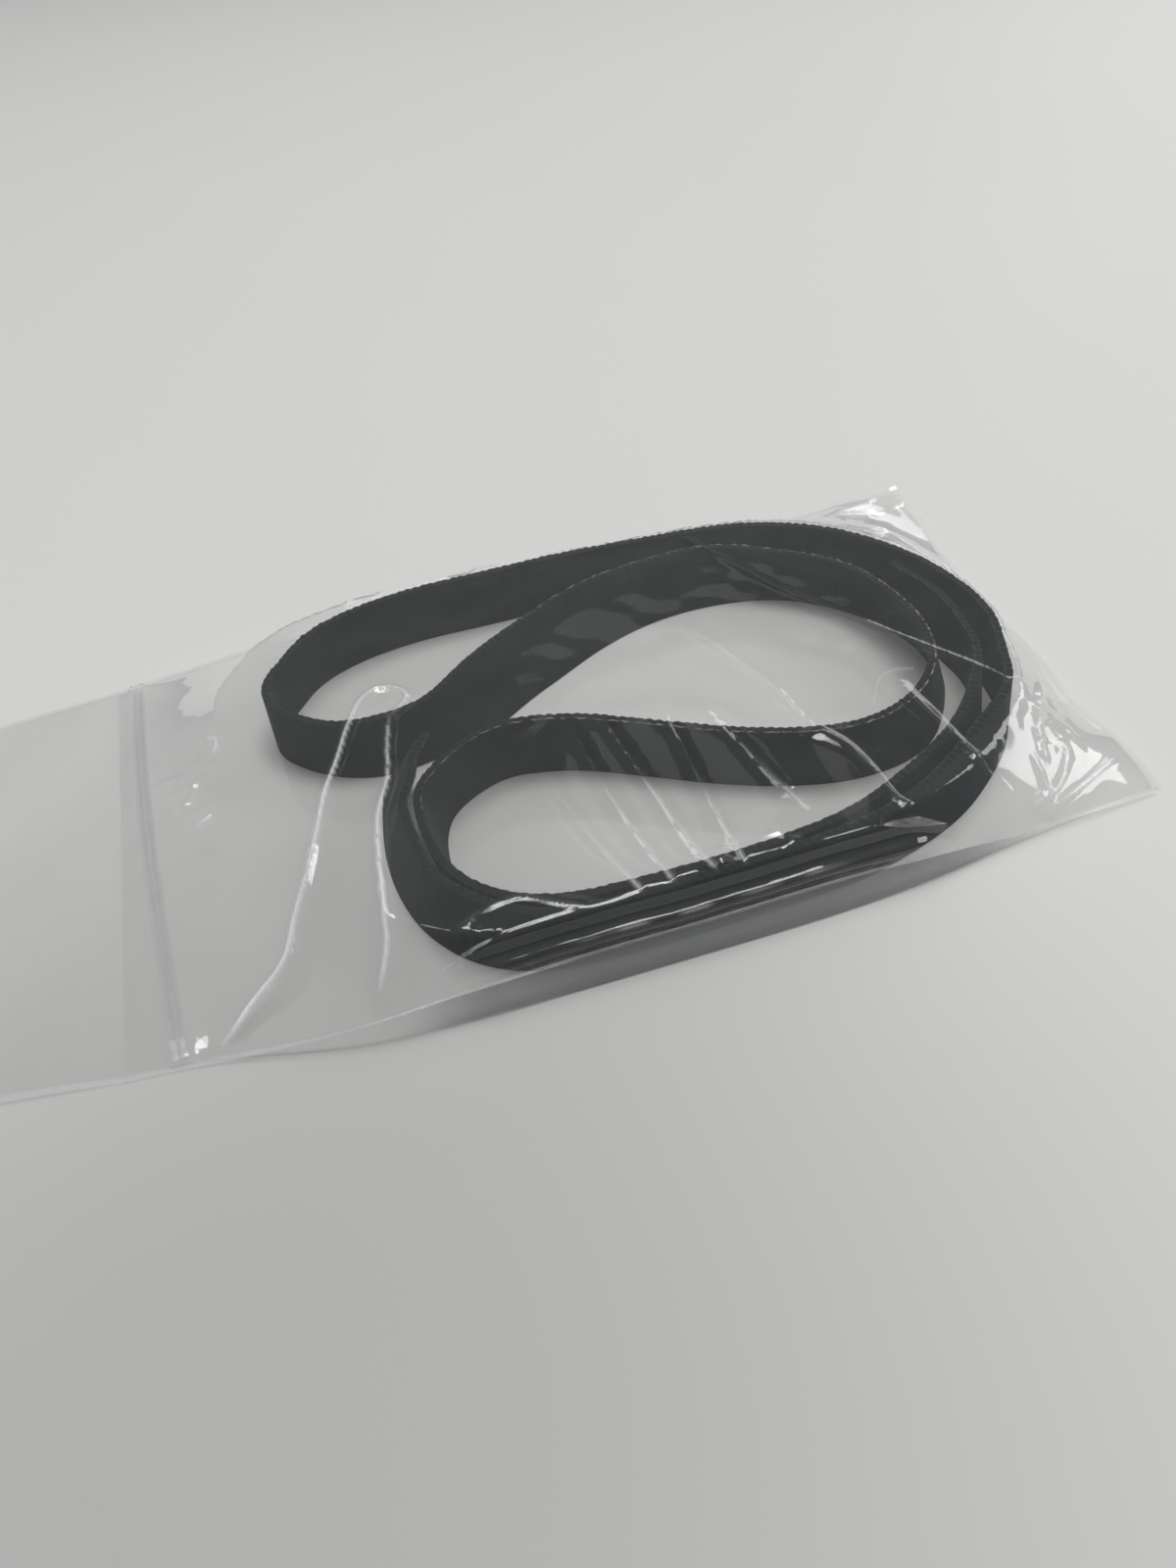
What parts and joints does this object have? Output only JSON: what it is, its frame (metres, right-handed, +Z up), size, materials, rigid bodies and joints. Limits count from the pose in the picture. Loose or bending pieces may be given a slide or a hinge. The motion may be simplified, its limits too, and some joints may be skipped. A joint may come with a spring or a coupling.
{
  "type": "strap in resealable bag",
  "caption": "Long narrow black two-ply strap wound loosely on its edge in a clear resealable bag with a foldable mouth.",
  "frame": {"origin": "on the table under the middle of the bag, at the bottom centre of the bounding box", "axes": "+X along the bag from its mouth to its closed end, +Y across it away from the viewer of the picture, +Z up from the table"},
  "size_m": [0.202, 0.1142, 0.0125],
  "materials": {
    "strap_outer": "matte black woven ply",
    "strap_inner": "matte dark grey conductive lining",
    "clear_film": "thin clear glossy film",
    "welded_film": "clear film, heat welded",
    "zip_plastic": "translucent extruded zip"
  },
  "bodies": {
    "bag": {"lower_film": "clear_film", "upper_film": "clear_film", "near_weld": "welded_film", "far_weld": "welded_film", "end_weld": "welded_film", "zip_channel": "zip_plastic", "zip_rib": "zip_plastic"},
    "strap": {"strap_outer_ply": "strap_outer", "strap_inner_ply": "strap_inner"},
    "lips": {"lower_lip": "clear_film", "upper_lip": "clear_film", "lip_near_weld": "welded_film", "lip_far_weld": "welded_film"}
  },
  "joints": [
    {"name": "strap_shift", "type": "slide", "parent": "bag", "child": "strap", "axis": [1, 0, 0], "range_m": [-0.008, 0]},
    {"name": "lip_fold", "type": "hinge", "parent": "bag", "child": "lips", "pos_m": [-0.077, 0, 0.0002], "axis": [0, 1, 0], "range_deg": [0, 120]}
  ]
}
